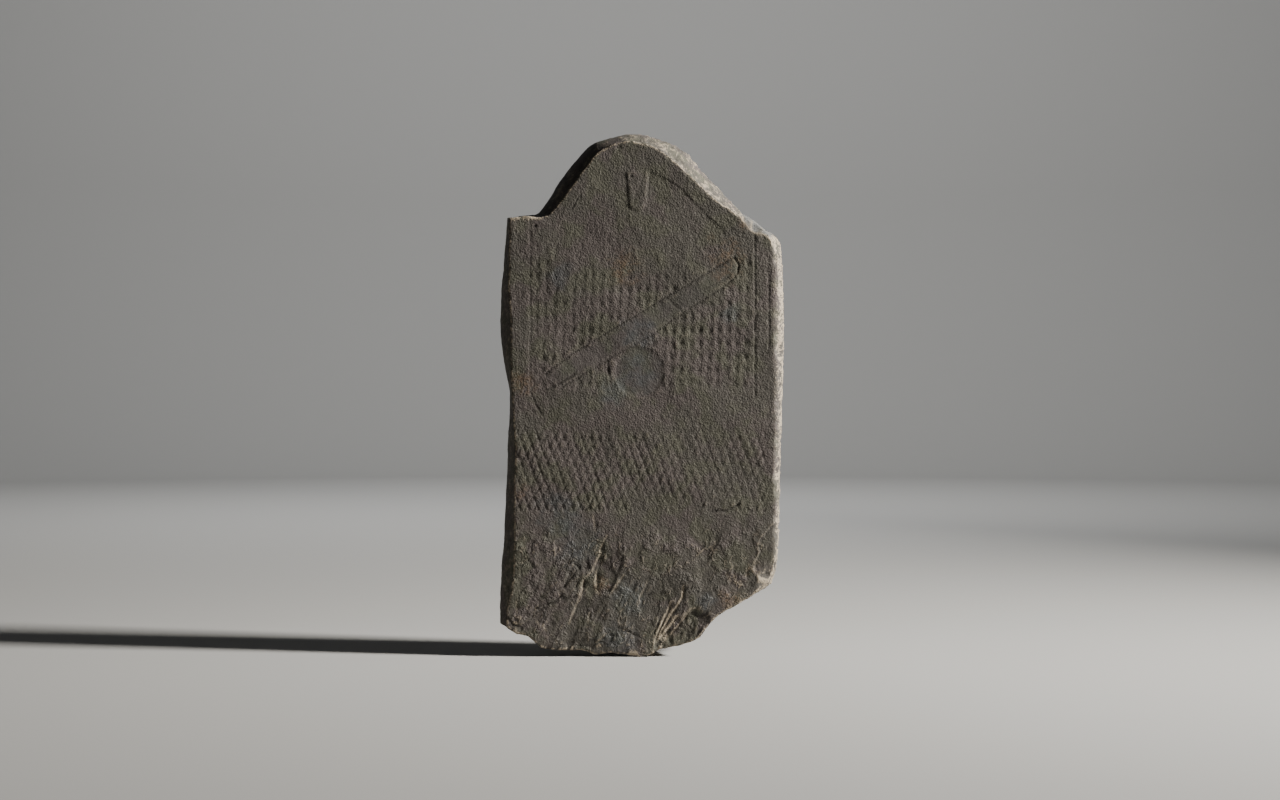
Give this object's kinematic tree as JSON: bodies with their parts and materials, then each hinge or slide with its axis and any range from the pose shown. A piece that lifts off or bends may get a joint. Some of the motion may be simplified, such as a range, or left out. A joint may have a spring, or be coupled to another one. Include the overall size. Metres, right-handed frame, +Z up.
{
  "type": "carved stone stele",
  "caption": "Upright schist slab with an arched head between shoulders, incised fields and a broken foot, made to be set in the ground.",
  "frame": {"origin": "under the middle of the broken foot, at the height of its lowest point, where the slab is held in the ground", "axes": "+Z up the slab, the carved front looks along -Y, +X to the right of someone facing it"},
  "size_m": [0.4937, 0.1, 0.8983],
  "materials": {
    "stone": "matt warm grey schist, pecked and incised, with rusty and bluish patches"
  },
  "bodies": {
    "root": {"stele": "stone"}
  },
  "joints": []
}
